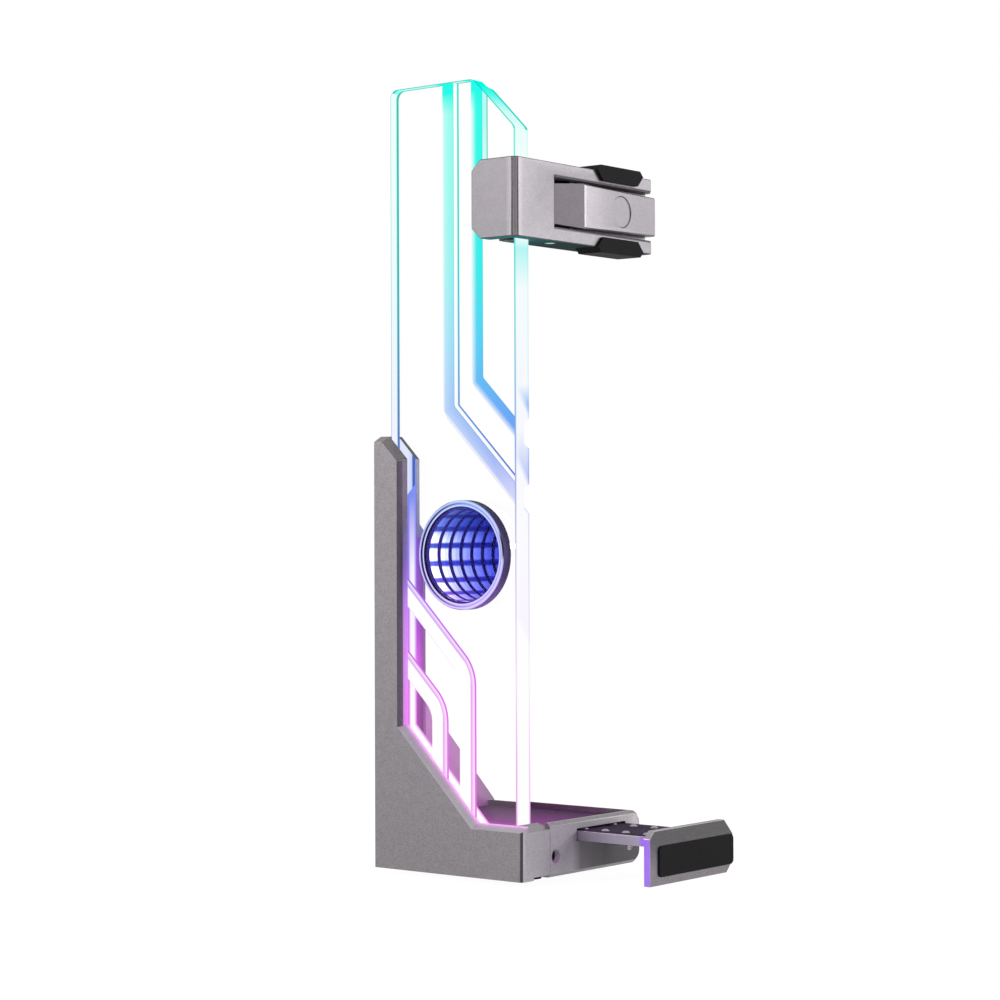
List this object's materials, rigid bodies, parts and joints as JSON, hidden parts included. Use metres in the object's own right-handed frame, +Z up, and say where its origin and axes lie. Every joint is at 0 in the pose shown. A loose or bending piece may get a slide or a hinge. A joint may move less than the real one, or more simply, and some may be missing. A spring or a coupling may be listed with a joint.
{
  "type": "graphics card support bracket",
  "caption": "Free-standing graphics card support: lit acrylic plate with a mirror light ring, a height-set padded arm with a flip lever, and a slide-out foot.",
  "frame": {"origin": "bottom centre of the bracket's bounding box as it stands, on the surface that it stands on", "axes": "+Z up; the arm reaches along +X and the foot slides out along -Y"},
  "size_m": [0.0612, 0.0718, 0.2018],
  "materials": {
    "frame_metal": "fine sand-textured grey powder coat",
    "arm_metal": "fine sand-textured light grey powder coat",
    "deck_metal": "satin dark grey coat",
    "pin_steel": "ground steel",
    "screw_steel": "black oxide steel",
    "black_rubber": "matt moulded rubber",
    "liner_plastic": "matt nylon",
    "rail_plastic": "matt acetal",
    "spring_steel": "bare spring steel",
    "acrylic": "polished clear acrylic, lit from its edges",
    "milky_plastic": "milky light-spreading plastic, lit",
    "light_board": "white lacquered circuit board with lamps",
    "ring_plastic": "polished dark plastic",
    "bezel_chrome": "polished plated rim",
    "half_mirror": "half-silvered glass",
    "full_mirror": "silvered glass",
    "lamp_band": "lit band of small lamps"
  },
  "bodies": {
    "stand": {"left_shell": "frame_metal", "right_shell": "frame_metal", "base_tray": "frame_metal", "deck_cover": "deck_metal", "slide_rail_left": "rail_plastic", "slide_rail_right": "rail_plastic", "slide_spring": "spring_steel", "light_plate": "acrylic", "column_light_strip": "light_board", "column_diffuser": "milky_plastic", "channel_diffuser": "milky_plastic", "base_light_strip": "light_board", "base_diffuser": "milky_plastic", "ring_bezel": "bezel_chrome", "ring_tube": "ring_plastic", "ring_half_mirror": "half_mirror", "ring_lamp_band": "lamp_band", "ring_rear_mirror": "full_mirror", "ring_cap": "ring_plastic", "rubber_feet": "black_rubber", "tray_screws": "screw_steel", "deck_screws": "screw_steel", "cover_screw": "screw_steel", "gusset_screws": "screw_steel", "cable_grommet": "black_rubber"},
    "arm": {"arm_body": "arm_metal", "arm_liner": "liner_plastic", "lever_pin": "pin_steel", "arm_pad_top": "black_rubber", "arm_pad_bottom": "black_rubber"},
    "lever": {"clamp_lever": "arm_metal"},
    "shoe": {"clamp_shoe": "liner_plastic"},
    "foot": {"foot_slide": "frame_metal", "foot_pad": "black_rubber"}
  },
  "joints": [
    {"name": "arm_height", "type": "slide", "parent": "stand", "child": "arm", "axis": [0, 0, 1], "range_m": [-0.062, 0.008]},
    {"name": "lever_flip", "type": "hinge", "parent": "arm", "child": "lever", "pos_m": [-0.0108, -0.0084, 0.17065], "axis": [0, 0, -1], "range_deg": [0, 85]},
    {"name": "shoe_press", "type": "slide", "parent": "arm", "child": "shoe", "axis": [1, 0, 0], "range_m": [0, 0.00015]},
    {"name": "foot_extend", "type": "slide", "parent": "stand", "child": "foot", "axis": [0, -1, 0], "range_m": [-0.0195, 0.008]}
  ],
  "couplings": [
    {"joint": "shoe_press", "follows": "lever_flip", "m_per_rad": 0.00010101}
  ]
}
